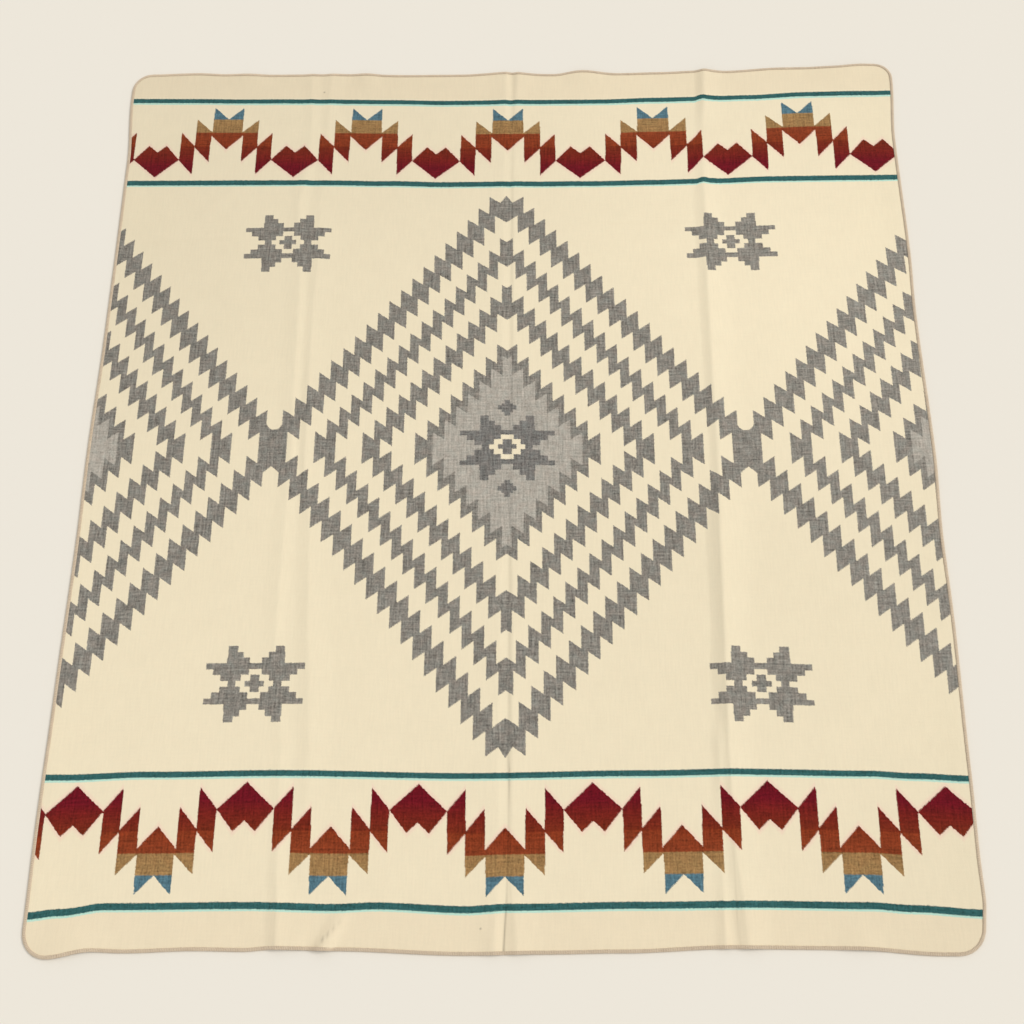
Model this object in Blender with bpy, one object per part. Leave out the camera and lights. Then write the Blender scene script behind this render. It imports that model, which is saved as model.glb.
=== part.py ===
"""Alpaca blanket, laid out flat: one woven sheet and the overlocked yarn edging sewn round it.

Metres, +Z up. X runs across the blanket, +Y along it to its far end, and the origin is at the
middle of the underside's bounding box.
"""
from collections import namedtuple
from math import cos, pi, sin

import bmesh
import bpy
import numpy as np
from mathutils import Vector

# Driving dimensions
WIDTH = 1.900
LENGTH = 2.090
CLOTH_THICK = 0.0024
EDGING_YARN = 0.0011
EDGING_GRIP = 0.0045
EDGING_BULGE = 0.0016
CLEARANCE = 0.0003

# Plan of the mesh: how far in from each side the outline's unevenness fades out, and its steps
WAVE_FADE = 0.30
SIDE_SQUEEZE = 0.12
CORNER_BEND = 0.876
RIM_FLAT = 0.014
RIM_FADE = 0.050
LENGTH_STEP = 0.100
WIDTH_STEP = 0.070
CORNER_STEPS = 5
FOLD_STATIONS = (-1.0, -0.55, -0.22, 0.0, 0.22, 0.55, 1.0)
STATION_GAP = 0.0039
NARROW_RIPPLE = 0.040
CREST_SHARPNESS = 1.5

CREAM = (0.83, 0.72, 0.52)
TAUPE = (0.52, 0.40, 0.33)

Corner = namedtuple("Corner", "far_left far_right near_left near_right")
CORNER_RADIUS = Corner(far_left=0.048, far_right=0.040, near_left=0.050, near_right=0.056)

# How far each edge stands out from its straight line, at places along it
Wave = namedtuple("Wave", "along out")
LEFT_EDGE = (
    Wave(-1.00, -0.002), Wave(-0.80, 0.000), Wave(-0.55, -0.002), Wave(-0.20, -0.005),
    Wave(0.00, -0.003), Wave(0.30, -0.007), Wave(0.50, -0.007), Wave(0.78, -0.006), Wave(0.97, 0.005),
)
RIGHT_EDGE = (
    Wave(-1.00, -0.013), Wave(-0.94, -0.007), Wave(-0.87, -0.008), Wave(-0.70, -0.005),
    Wave(-0.36, -0.001), Wave(-0.20, -0.003), Wave(0.00, 0.003), Wave(0.35, -0.002),
    Wave(0.52, 0.002), Wave(0.83, -0.001), Wave(1.00, 0.010),
)
FAR_EDGE = (
    Wave(-0.90, 0.001), Wave(-0.79, 0.004), Wave(-0.72, 0.000), Wave(-0.60, -0.003),
    Wave(-0.44, -0.003), Wave(-0.24, -0.008), Wave(-0.12, -0.008), Wave(-0.02, -0.003),
    Wave(0.11, -0.009), Wave(0.18, -0.001), Wave(0.28, -0.008), Wave(0.38, -0.006),
    Wave(0.48, -0.002), Wave(0.54, -0.004), Wave(0.69, 0.005), Wave(0.81, 0.006), Wave(0.89, 0.013),
)
NEAR_EDGE = (
    Wave(-0.90, 0.014), Wave(-0.81, 0.000), Wave(-0.75, 0.002), Wave(-0.60, -0.003),
    Wave(-0.51, -0.002), Wave(-0.45, -0.006), Wave(-0.32, -0.004), Wave(-0.08, 0.003),
    Wave(0.07, 0.000), Wave(0.23, -0.003), Wave(0.45, -0.012), Wave(0.68, -0.011), Wave(0.86, -0.001),
)

# Creases left by folding the blanket in half and in quarters. Each crest runs the whole length,
# higher in some places along it than in others.
Rise = namedtuple("Rise", "along height")
LEFT_QUARTER = (
    Rise(-1.045, 0.0065), Rise(-0.83, 0.0035), Rise(-0.50, 0.0045), Rise(0.00, 0.0050),
    Rise(0.50, 0.0040), Rise(1.045, 0.0028),
)
HALF_FOLD = (
    Rise(-1.045, 0.0046), Rise(-0.90, 0.0022), Rise(-0.50, 0.0034), Rise(0.10, 0.0024),
    Rise(0.85, 0.0020), Rise(1.045, 0.0036),
)
RIGHT_QUARTER = (
    Rise(-1.045, 0.0062), Rise(-0.83, 0.0046), Rise(-0.50, 0.0092), Rise(-0.20, 0.0096),
    Rise(0.02, 0.0062), Rise(0.60, 0.0060), Rise(0.83, 0.0030), Rise(1.045, 0.0076),
)
Fold = namedtuple("Fold", "far_x near_x rises left_spread right_spread")
FOLDS = (
    Fold(far_x=-0.490, near_x=-0.450, rises=LEFT_QUARTER, left_spread=0.040, right_spread=0.050),
    Fold(far_x=-0.010, near_x=-0.018, rises=HALF_FOLD, left_spread=0.060, right_spread=0.018),
    Fold(far_x=0.018, near_x=0.020, rises=HALF_FOLD, left_spread=0.018, right_spread=0.060),
    Fold(far_x=0.486, near_x=0.460, rises=RIGHT_QUARTER, left_spread=0.028, right_spread=0.060),
)

# Places where an edge lifts off the surface; lean slants the ripple as it runs inwards
Ripple = namedtuple("Ripple", "x edge_y height spread reach lean")
RIPPLES = (
    Ripple(x=-0.660, edge_y=LENGTH / 2, height=0.0030, spread=0.060, reach=0.070, lean=0.0),
    Ripple(x=-0.360, edge_y=LENGTH / 2, height=0.0040, spread=0.045, reach=0.070, lean=0.0),
    Ripple(x=0.190, edge_y=LENGTH / 2, height=0.0045, spread=0.070, reach=0.080, lean=0.0),
    Ripple(x=0.840, edge_y=LENGTH / 2, height=0.0040, spread=0.100, reach=0.110, lean=0.0),
    Ripple(x=-0.357, edge_y=-LENGTH / 2, height=0.0090, spread=0.030, reach=0.110, lean=0.55),
    Ripple(x=0.690, edge_y=-LENGTH / 2, height=0.0040, spread=0.060, reach=0.090, lean=0.15),
    Ripple(x=-0.850, edge_y=-LENGTH / 2, height=0.0040, spread=0.090, reach=0.100, lean=0.0),
)

EDGE_LIFT = EDGING_YARN + CLEARANCE


def smooth(value):
    """Ease from 0 to 1 as value goes from 0 to 1."""
    value = min(1.0, max(0.0, value))
    return value * value * (3.0 - 2.0 * value)


def read_run(table, place):
    """Read a table of places and values at one place, eased between its rows."""
    if place <= table[0][0]:
        return table[0][1]
    for (start, before), (end, after) in zip(table, table[1:]):
        if place <= end:
            return before + (after - before) * smooth((place - start) / (end - start))
    return table[-1][1]


def along_share(y):
    """0 at the near end, 1 at the far end."""
    return y / LENGTH + 0.5


def crest_x(fold, y):
    return fold.near_x + (fold.far_x - fold.near_x) * along_share(y)


def fold_height(x, y):
    """Height of the cloth's underside above the surface from the long creases."""
    total = 0.0
    for fold in FOLDS:
        offset = x - crest_x(fold, y)
        spread = fold.left_spread if offset < 0 else fold.right_spread
        share = max(0.0, 1.0 - abs(offset) / spread)
        total += read_run(fold.rises, y) * share ** CREST_SHARPNESS
    return total


def ripple_height(x, y):
    """Height added where an edge lifts."""
    total = 0.0
    for ripple in RIPPLES:
        inwards = abs(y - ripple.edge_y)
        offset = abs(x - ripple.x - ripple.lean * inwards)
        if inwards < ripple.reach and offset < ripple.spread:
            across = 0.5 + 0.5 * cos(pi * offset / ripple.spread)
            total += ripple.height * across * smooth(1.0 - inwards / ripple.reach)
    return total


def even_steps(start, end, step):
    """Places between two ends, without the ends, no further apart than step."""
    count = int(np.ceil((end - start) / step - 1e-9))
    return [start + (end - start) * number / count for number in range(1, count)]


def width_stations():
    """Lines along the blanket, as x at the far and the near end, dense at each crease."""
    half = WIDTH / 2
    rim = (half, half - RIM_FLAT, half - 0.55 * RIM_FADE, half - RIM_FADE, CORNER_BEND,
           half - SIDE_SQUEEZE)
    fixed = [(-place, -place) for place in rim] + [(place, place) for place in rim]
    for fold in FOLDS:
        for share in FOLD_STATIONS:
            spread = fold.left_spread if share < 0 else fold.right_spread
            fixed.append((fold.far_x + share * spread, fold.near_x + share * spread))
    for ripple in RIPPLES:
        shares = (-0.5, 0.0, 0.5) if ripple.spread < NARROW_RIPPLE else (0.0,)
        for share in shares:
            place = ripple.x + share * ripple.spread
            fixed.append((place, place))
    fixed.sort()
    kept = [fixed[0]]
    for line in fixed[1:]:
        if min(line[0] - kept[-1][0], line[1] - kept[-1][1]) > STATION_GAP:
            kept.append(line)
    stations = []
    for line, following in zip(kept, kept[1:]):
        stations.append(line)
        far_steps = even_steps(line[0], following[0], WIDTH_STEP)
        for number, far_x in enumerate(far_steps, start=1):
            share = number / (len(far_steps) + 1)
            stations.append((far_x, line[1] + (following[1] - line[1]) * share))
    stations.append(kept[-1])
    return stations


def length_stations():
    """Lines across the blanket, as y and the angle reached round the corners, or None between."""
    quarter = pi / 2
    angles = [quarter * number / CORNER_STEPS for number in range(CORNER_STEPS + 1)]
    corner = max(CORNER_RADIUS)
    near = [(-LENGTH / 2, angle) for angle in reversed(angles)]
    far = [(LENGTH / 2, angle) for angle in angles]
    fine = [-LENGTH / 2 + corner + reach for reach in (0.020, 0.050)]
    between = fine + even_steps(fine[-1], -fine[-1], LENGTH_STEP) + [-y for y in reversed(fine)]
    return near + [(y, None) for y in between] + far


def plan_point(station, row):
    """Place in plan of the crossing of one line along and one line across."""
    row_y, angle = row
    share = along_share(row_y)
    x = station[1] + (station[0] - station[1]) * share
    half = WIDTH / 2
    side = x / WIDTH + 0.5
    y = row_y
    reach_left = half
    reach_right = half
    if angle is not None:
        far = row_y > 0
        left = CORNER_RADIUS.far_left if far else CORNER_RADIUS.near_left
        right = CORNER_RADIUS.far_right if far else CORNER_RADIUS.near_right
        inset = (left + (right - left) * side) * (1.0 - sin(angle))
        y = row_y - inset if far else row_y + inset
        reach_left = half - left * (1.0 - cos(angle))
        reach_right = half - right * (1.0 - cos(angle))
    inner = half - SIDE_SQUEEZE
    reach = reach_left if x < 0 else reach_right
    if abs(x) > inner:
        x = np.sign(x) * (inner + (abs(x) - inner) * (reach - inner) / SIDE_SQUEEZE)
    side_waves = LEFT_EDGE if x < 0 else RIGHT_EDGE
    end_waves = FAR_EDGE if y > 0 else NEAR_EDGE
    side_fade = smooth((abs(x) - (half - WAVE_FADE)) / WAVE_FADE)
    end_fade = smooth((abs(y) - (LENGTH / 2 - WAVE_FADE)) / WAVE_FADE)
    uneven_x = np.sign(x) * read_run(side_waves, y) * side_fade
    uneven_y = np.sign(y) * read_run(end_waves, x) * end_fade
    return x + uneven_x, y + uneven_y


def rim_walk(across, along):
    """Grid places round the outline, anticlockwise seen from above, each once."""
    walk = [(column, 0) for column in range(across)]
    walk += [(across - 1, row) for row in range(1, along)]
    walk += [(column, along - 1) for column in range(across - 2, -1, -1)]
    walk += [(0, row) for row in range(along - 2, 0, -1)]
    return walk


def nearest_on_rim(point, rim):
    """Distance in plan from a point to the closed outline, and the stretch and share it meets."""
    starts = np.array(rim)
    ends = np.roll(starts, -1, axis=0)
    spans = ends - starts
    lengths = (spans ** 2).sum(axis=1)
    shares = np.clip(((np.array(point) - starts) * spans).sum(axis=1) / lengths, 0.0, 1.0)
    nearest = starts + spans * shares[:, None]
    distances = np.sqrt(((nearest - np.array(point)) ** 2).sum(axis=1))
    stretch = int(distances.argmin())
    return float(distances[stretch]), stretch, float(shares[stretch])


def underside_grid(stations, rows):
    """The underside's points, over the surface by its folds, its ripples and the edging's yarn.

    The strip that the edging grips is level across, at the height of the edge beside it.
    """
    plan = [[plan_point(station, row) for row in rows] for station in stations]
    rim = [plan[column][row] for column, row in rim_walk(len(stations), len(rows))]
    rim_heights = [fold_height(x, y) + ripple_height(x, y) for x, y in rim]
    grid = []
    for column in plan:
        line = []
        for x, y in column:
            in_from_rim, stretch, share = nearest_on_rim((x, y), rim)
            height = fold_height(x, y) + ripple_height(x, y)
            if in_from_rim < 1.1 * RIM_FLAT:
                following = rim_heights[(stretch + 1) % len(rim)]
                height = rim_heights[stretch] + (following - rim_heights[stretch]) * share
            lift = EDGE_LIFT * smooth((RIM_FADE - in_from_rim) / (RIM_FADE - RIM_FLAT))
            line.append(Vector((x, y, lift + height)))
        grid.append(line)
    return grid


def material(name, colour, roughness):
    made = bpy.data.materials.new(name)
    made.use_nodes = True
    shader = made.node_tree.nodes["Principled BSDF"]
    shader.inputs["Base Color"].default_value = (*colour, 1.0)
    shader.inputs["Roughness"].default_value = roughness
    shader.inputs["Metallic"].default_value = 0.0
    return made


def add_object(name, mesh_builder, made_of):
    """Turn a bmesh into a named object with its material."""
    mesh = bpy.data.meshes.new(name)
    mesh_builder.to_mesh(mesh)
    mesh_builder.free()
    mesh.materials.append(made_of)
    mesh.shade_smooth()
    mesh.set_sharp_from_angle(angle=0.6)
    thing = bpy.data.objects.new(name, mesh)
    bpy.context.scene.collection.objects.link(thing)
    return thing


def build_cloth(grid, shift):
    """The woven sheet: its underside, the same face a cloth's thickness up, and its edge."""
    builder = bmesh.new()
    up = Vector((0.0, 0.0, CLOTH_THICK))
    low = [[builder.verts.new(point + shift) for point in line] for line in grid]
    high = [[builder.verts.new(point + shift + up) for point in line] for line in grid]
    across = len(grid)
    along = len(grid[0])
    for column in range(across - 1):
        for row in range(along - 1):
            corners = [(column, row), (column + 1, row), (column + 1, row + 1), (column, row + 1)]
            builder.faces.new([high[c][r] for c, r in corners])
            builder.faces.new([low[c][r] for c, r in reversed(corners)])
    walk = rim_walk(across, along)
    for (c, r), (next_c, next_r) in zip(walk, walk[1:] + walk[:1]):
        builder.faces.new([low[c][r], low[next_c][next_r], high[next_c][next_r], high[c][r]])
    return add_object("cloth", builder, material("alpaca_weave", CREAM, 0.95))


def edging_section():
    """Half-round wrap of yarn over a sheet's edge: distance out, and height from its middle."""
    face = CLOTH_THICK / 2 + CLEARANCE
    crown = face + EDGING_YARN
    shoulder = face + 0.55 * EDGING_YARN
    outer = CLEARANCE + EDGING_BULGE
    upper = [
        (-EDGING_GRIP, face),
        (-EDGING_GRIP, shoulder),
        (-0.4 * EDGING_GRIP, crown),
        (outer, 0.5 * crown),
    ]
    inner = (CLEARANCE, face)
    lower = [(out, -height) for out, height in reversed(upper)]
    return upper + lower + [(inner[0], -inner[1]), inner]


def build_edging(grid, shift):
    """The overlocked edge: its section swept once round the cloth's outline."""
    walk = rim_walk(len(grid), len(grid[0]))
    points = [grid[column][row] for column, row in walk]
    builder = bmesh.new()
    section = edging_section()
    rings = []
    for number, point in enumerate(points):
        before = points[number - 1]
        after = points[(number + 1) % len(points)]
        run_in = (point - before).to_2d().normalized()
        run_out = (after - point).to_2d().normalized()
        bisector = (run_in + run_out).normalized()
        outwards = Vector((bisector.y, -bisector.x, 0.0))
        mitre = 1.0 / max(0.5, bisector.dot(run_in))
        middle = point + shift + Vector((0.0, 0.0, CLOTH_THICK / 2))
        ring = []
        for out, height in section:
            place = middle + outwards * (out * mitre) + Vector((0.0, 0.0, height))
            ring.append(builder.verts.new(place))
        rings.append(ring)
    count = len(section)
    for ring, following in zip(rings, rings[1:] + rings[:1]):
        for number in range(count):
            after = (number + 1) % count
            builder.faces.new([ring[number], ring[after], following[after], following[number]])
    bmesh.ops.recalc_face_normals(builder, faces=builder.faces)
    return add_object("edging", builder, material("edging_yarn", TAUPE, 0.85))


def centring_shift(grid):
    """Move that puts the middle of the outline's box over the origin, edging included."""
    places = np.array([[point.x, point.y] for line in grid for point in line])
    middle = (places.min(axis=0) + places.max(axis=0)) / 2
    return Vector((-middle[0], -middle[1], 0.0))


for existing in list(bpy.data.objects):
    bpy.data.objects.remove(existing, do_unlink=True)

underside = underside_grid(width_stations(), length_stations())
to_centre = centring_shift(underside)
build_cloth(underside, to_centre)
build_edging(underside, to_centre)
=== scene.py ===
"""A woven alpaca blanket, laid out flat: the cloth with its old fold creases, and its stitched edge.

Metres, +Z up. X runs across the blanket and +Y along it to its far end.
"""
from collections import namedtuple
from functools import reduce
from math import cos, pi, radians, sin

import bmesh
import bpy
import numpy as np
from mathutils import Matrix, Vector


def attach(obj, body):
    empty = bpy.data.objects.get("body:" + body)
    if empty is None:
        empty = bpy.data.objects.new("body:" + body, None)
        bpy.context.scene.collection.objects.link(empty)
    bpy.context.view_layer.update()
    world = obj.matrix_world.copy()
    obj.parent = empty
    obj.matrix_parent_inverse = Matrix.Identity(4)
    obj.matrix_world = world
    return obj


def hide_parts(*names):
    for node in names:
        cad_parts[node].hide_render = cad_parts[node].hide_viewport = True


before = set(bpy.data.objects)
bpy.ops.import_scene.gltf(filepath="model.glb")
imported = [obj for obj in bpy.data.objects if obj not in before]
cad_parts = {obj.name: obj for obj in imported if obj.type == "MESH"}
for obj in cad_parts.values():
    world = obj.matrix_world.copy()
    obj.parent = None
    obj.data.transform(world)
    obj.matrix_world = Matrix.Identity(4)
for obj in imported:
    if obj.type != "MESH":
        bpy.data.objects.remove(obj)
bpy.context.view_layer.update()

scene = bpy.context.scene
scene.view_settings.view_transform = "Standard"

# The view
# Someone stands at the blanket's near end and looks steeply down over the middle of it.
EYE = Vector((0.0595, -0.9730, 2.4151))
LOOK_DOWN = 70.818
LOOK_LEFT = 3.395
HEAD_TILT = -3.316
LENS = 40.78
SENSOR = 36.0


def set_down(name, data):
    """A new object in the scene, at the origin."""
    thing = bpy.data.objects.new(name, data)
    scene.collection.objects.link(thing)
    return thing


view = bpy.data.cameras.new("view")
view.lens = LENS
view.sensor_width = SENSOR
view.clip_start = 0.05
view.clip_end = 60.0
onlooker = set_down("onlooker", view)
onlooker.matrix_world = (
    Matrix.Translation(EYE)
    @ Matrix.Rotation(radians(LOOK_LEFT), 4, "Z")
    @ Matrix.Rotation(radians(90.0 - LOOK_DOWN), 4, "X")
    @ Matrix.Rotation(radians(HEAD_TILT), 4, "Z")
)
scene.camera = onlooker

# The cloth's outline and lie
# One width of brushed alpaca cloth off the loom, cut with rounded corners. It was stored folded
# in half and in quarters, so it lies flat but for those creases, and its edges wander.
WIDTH = 1.900
LENGTH = 2.090
CLOTH_THICK = 0.0024
EDGING_YARN = 0.0011
CLEARANCE = 0.0003
RIM_FLAT = 0.014
RIM_FADE = 0.050
RIM_BAND = 0.125
RIM_PORTIONS = 40
WAVE_FADE = 0.30
SIDE_SQUEEZE = 0.12
CREST_SHARPNESS = 1.4
CREST_ROUND = 0.0025
EDGE_LIFT = EDGING_YARN + CLEARANCE
HALF_WIDTH = WIDTH / 2
HALF_LENGTH = LENGTH / 2

Corner = namedtuple("Corner", "far_left far_right near_left near_right")
CORNER_RADIUS = Corner(far_left=0.048, far_right=0.040, near_left=0.050, near_right=0.056)

# How far each edge stands out from its straight line, at places along it
Wave = namedtuple("Wave", "along out")
LEFT_EDGE = (
    Wave(-1.00, -0.002), Wave(-0.80, 0.000), Wave(-0.55, -0.002), Wave(-0.20, -0.005),
    Wave(0.00, -0.003), Wave(0.30, -0.007), Wave(0.50, -0.007), Wave(0.78, -0.006), Wave(0.97, 0.005),
)
RIGHT_EDGE = (
    Wave(-1.00, -0.013), Wave(-0.94, -0.007), Wave(-0.87, -0.008), Wave(-0.70, -0.005),
    Wave(-0.36, -0.001), Wave(-0.20, -0.003), Wave(0.00, 0.003), Wave(0.35, -0.002),
    Wave(0.52, 0.002), Wave(0.83, -0.001), Wave(1.00, 0.010),
)
FAR_EDGE = (
    Wave(-0.90, 0.001), Wave(-0.79, 0.004), Wave(-0.72, 0.000), Wave(-0.60, -0.003),
    Wave(-0.44, -0.003), Wave(-0.24, -0.008), Wave(-0.12, -0.008), Wave(-0.02, -0.003),
    Wave(0.11, -0.009), Wave(0.18, -0.001), Wave(0.28, -0.008), Wave(0.38, -0.006),
    Wave(0.48, -0.002), Wave(0.54, -0.004), Wave(0.69, 0.005), Wave(0.81, 0.006), Wave(0.89, 0.013),
)
NEAR_EDGE = (
    Wave(-0.90, 0.014), Wave(-0.81, 0.000), Wave(-0.75, 0.002), Wave(-0.60, -0.003),
    Wave(-0.51, -0.002), Wave(-0.45, -0.006), Wave(-0.32, -0.004), Wave(-0.08, 0.003),
    Wave(0.07, 0.000), Wave(0.23, -0.003), Wave(0.45, -0.012), Wave(0.68, -0.011), Wave(0.86, -0.001),
)

# Creases from its folding in half and in quarters: where each crest runs, how high it stands and
# how far its slopes reach to the left and right, at places along the blanket
Crest = namedtuple("Crest", "y x height left right")
LEFT_QUARTER = (
    Crest(-1.045, -0.444, 0.0056, 0.024, 0.055), Crest(-1.00, -0.446, 0.0052, 0.024, 0.055),
    Crest(-0.83, -0.456, 0.0023, 0.018, 0.034), Crest(-0.65, -0.462, 0.0013, 0.022, 0.022),
    Crest(-0.52, -0.487, 0.0016, 0.030, 0.022), Crest(-0.37, -0.491, 0.0026, 0.034, 0.024),
    Crest(-0.20, -0.489, 0.0021, 0.032, 0.024), Crest(0.00, -0.485, 0.0028, 0.030, 0.018),
    Crest(0.20, -0.491, 0.0022, 0.036, 0.018), Crest(0.37, -0.492, 0.0026, 0.036, 0.018),
    Crest(0.52, -0.498, 0.0020, 0.036, 0.020), Crest(0.65, -0.509, 0.0026, 0.026, 0.022),
    Crest(0.83, -0.492, 0.0012, 0.024, 0.020), Crest(1.045, -0.500, 0.0018, 0.024, 0.020),
)
LEFT_QUARTER_TWIN = (
    Crest(-1.045, -0.402, 0.0012, 0.026, 0.040), Crest(-0.83, -0.402, 0.0012, 0.026, 0.036),
    Crest(-0.65, -0.404, 0.0026, 0.026, 0.046), Crest(-0.52, -0.412, 0.0032, 0.032, 0.050),
    Crest(-0.37, -0.424, 0.0035, 0.028, 0.050), Crest(-0.20, -0.431, 0.0027, 0.026, 0.050),
    Crest(0.00, -0.453, 0.0032, 0.018, 0.044), Crest(0.20, -0.456, 0.0028, 0.018, 0.050),
    Crest(0.37, -0.458, 0.0021, 0.018, 0.050), Crest(0.52, -0.452, 0.0022, 0.022, 0.050),
    Crest(0.65, -0.458, 0.0009, 0.020, 0.050), Crest(0.83, -0.450, 0.0014, 0.020, 0.040),
    Crest(1.045, -0.450, 0.0020, 0.022, 0.040),
)
HALF_FOLD_LEFT = (
    Crest(-1.045, -0.018, 0.0046, 0.036, 0.018), Crest(-0.90, -0.014, 0.0017, 0.060, 0.017),
    Crest(0.00, -0.014, 0.0017, 0.060, 0.017), Crest(0.85, -0.012, 0.0015, 0.060, 0.017),
    Crest(1.045, -0.008, 0.0032, 0.050, 0.014),
)
HALF_FOLD_RIGHT = (
    Crest(-1.045, 0.026, 0.0048, 0.024, 0.050), Crest(-0.90, 0.016, 0.0017, 0.009, 0.060),
    Crest(-0.52, 0.015, 0.0029, 0.008, 0.060), Crest(-0.30, 0.015, 0.0023, 0.008, 0.060),
    Crest(0.20, 0.015, 0.0017, 0.008, 0.060), Crest(0.60, 0.014, 0.0021, 0.008, 0.060),
    Crest(0.85, 0.015, 0.0010, 0.010, 0.060), Crest(1.045, 0.022, 0.0038, 0.014, 0.050),
)
RIGHT_QUARTER = (
    Crest(-1.045, 0.478, 0.0062, 0.032, 0.050), Crest(-1.00, 0.475, 0.0058, 0.030, 0.050),
    Crest(-0.83, 0.462, 0.0035, 0.018, 0.048), Crest(-0.65, 0.460, 0.0068, 0.018, 0.055),
    Crest(-0.52, 0.461, 0.0092, 0.030, 0.062), Crest(-0.37, 0.464, 0.0092, 0.028, 0.062),
    Crest(-0.20, 0.466, 0.0098, 0.031, 0.062), Crest(0.00, 0.472, 0.0052, 0.018, 0.075),
    Crest(0.20, 0.470, 0.0056, 0.020, 0.060), Crest(0.40, 0.470, 0.0054, 0.021, 0.055),
    Crest(0.52, 0.471, 0.0060, 0.022, 0.045), Crest(0.65, 0.475, 0.0054, 0.026, 0.045),
    Crest(0.83, 0.479, 0.0013, 0.018, 0.050), Crest(0.97, 0.487, 0.0064, 0.020, 0.050),
    Crest(1.045, 0.490, 0.0076, 0.022, 0.050),
)
RIGHT_QUARTER_TWIN = (
    Crest(-1.045, 0.432, 0.0046, 0.018, 0.020), Crest(-1.00, 0.432, 0.0038, 0.018, 0.018),
    Crest(-0.83, 0.434, 0.0008, 0.016, 0.030), Crest(-0.65, 0.440, 0.0042, 0.016, 0.020),
    Crest(-0.56, 0.440, 0.0000, 0.016, 0.014), Crest(1.045, 0.440, 0.0000, 0.016, 0.014),
)
CREASES = (
    LEFT_QUARTER, LEFT_QUARTER_TWIN, HALF_FOLD_LEFT, HALF_FOLD_RIGHT, RIGHT_QUARTER,
    RIGHT_QUARTER_TWIN,
)

# Faint creases across the blanket, from one end of each to its other
CrossCrease = namedtuple("CrossCrease", "start_x start_y end_x end_y height spread")
CROSS_CREASES = (
    CrossCrease(-0.890, 0.557, -0.640, 0.572, 0.0008, 0.014),
    CrossCrease(0.155, 0.604, 0.500, 0.606, 0.0006, 0.012),
)

# Places where an edge lifts; lean slants the ripple as it runs inwards
Ripple = namedtuple("Ripple", "x edge_y height spread reach lean")
RIPPLES = (
    Ripple(-0.660, HALF_LENGTH, 0.0030, 0.060, 0.070, 0.0),
    Ripple(-0.360, HALF_LENGTH, 0.0040, 0.045, 0.070, 0.0),
    Ripple(0.190, HALF_LENGTH, 0.0045, 0.070, 0.080, 0.0),
    Ripple(0.840, HALF_LENGTH, 0.0040, 0.100, 0.110, 0.0),
    Ripple(-0.357, -HALF_LENGTH, 0.0090, 0.030, 0.110, 0.55),
    Ripple(0.690, -HALF_LENGTH, 0.0040, 0.060, 0.090, 0.15),
    Ripple(-0.850, -HALF_LENGTH, 0.0040, 0.090, 0.100, 0.0),
)

# Slow swells that are left in cloth which has lain folded: direction, wavelength, height, start
Swell = namedtuple("Swell", "heading wavelength height start")
SWELLS = (
    Swell(8.0, 0.210, 0.00030, 0.4), Swell(-14.0, 0.137, 0.00022, 2.1),
    Swell(79.0, 0.330, 0.00040, 1.3), Swell(97.0, 0.171, 0.00020, 3.9),
    Swell(33.0, 0.093, 0.00010, 5.2), Swell(-41.0, 0.071, 0.00008, 0.9),
)

# Mesh lines: close together at the creases, and further apart between them
WIDEST_GAP = 0.0142
LONGEST_GAP = 0.0122
CREASE_GAP = 0.0021
GAP_GROWTH = 0.17
CORNER_STEPS = 7
CREASE_LINES = (-0.492, -0.478, -0.452, -0.425, 0.000, 0.008, 0.016, 0.440, 0.458, 0.472)
TUCK_LINES = (-0.335, -0.350)
CROSS_LINES = (-0.992, 0.565, 0.605)
CORNER_CLEAR = 0.006


def smooth(share):
    """Ease from 0 to 1 as share goes from 0 to 1."""
    share = np.clip(share, 0.0, 1.0)
    return share * share * (3.0 - 2.0 * share)


def eased(places, values, at):
    """Read a column of a short table at some places: eased between its rows, level past its ends."""
    places = np.asarray(places)
    row = np.clip(np.searchsorted(places, at) - 1, 0, len(places) - 2)
    share = smooth((at - places[row]) / (places[row + 1] - places[row]))
    values = np.asarray(values)
    return values[row] + (values[row + 1] - values[row]) * share


def read_run(table, at):
    """Read a table of places and values in the same way."""
    places, values = zip(*table)
    return eased(places, values, at)


def crease_height(x, y):
    """Height of the long creases over the level cloth."""
    total = np.zeros_like(x)
    for crease in CREASES:
        places, *columns = zip(*crease)
        crest_x, height, left, right = (eased(places, column, y) for column in columns)
        offset = x - crest_x
        spread = np.where(offset < 0, left, right)
        away = np.hypot(offset, CREST_ROUND) - CREST_ROUND
        total += height * np.clip(1.0 - away / spread, 0.0, 1.0) ** CREST_SHARPNESS
    for crease in CROSS_CREASES:
        share = (x - crease.start_x) / (crease.end_x - crease.start_x)
        away = np.abs(y - crease.start_y - (crease.end_y - crease.start_y) * share)
        ends = smooth(5.0 * share) * smooth(5.0 * (1.0 - share))
        total += crease.height * ends * np.clip(1.0 - away / crease.spread, 0.0, 1.0) ** CREST_SHARPNESS
    return total


def ripple_height(x, y):
    """Height added where an edge lifts."""
    total = np.zeros_like(x)
    for ripple in RIPPLES:
        inwards = np.abs(y - ripple.edge_y)
        offset = np.abs(x - ripple.x - ripple.lean * inwards)
        across = 0.5 + 0.5 * np.cos(pi * np.clip(offset / ripple.spread, 0.0, 1.0))
        total += ripple.height * across * smooth(1.0 - inwards / ripple.reach)
    return total


def swell_height(x, y):
    """The slow swells, none of which dips under the level cloth."""
    total = np.zeros_like(x)
    for swell in SWELLS:
        heading = radians(swell.heading)
        phase = 2.0 * pi * (x * cos(heading) + y * sin(heading)) / swell.wavelength + swell.start
        total += swell.height * (1.0 + np.sin(phase)) / 2.0
    return total


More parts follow.
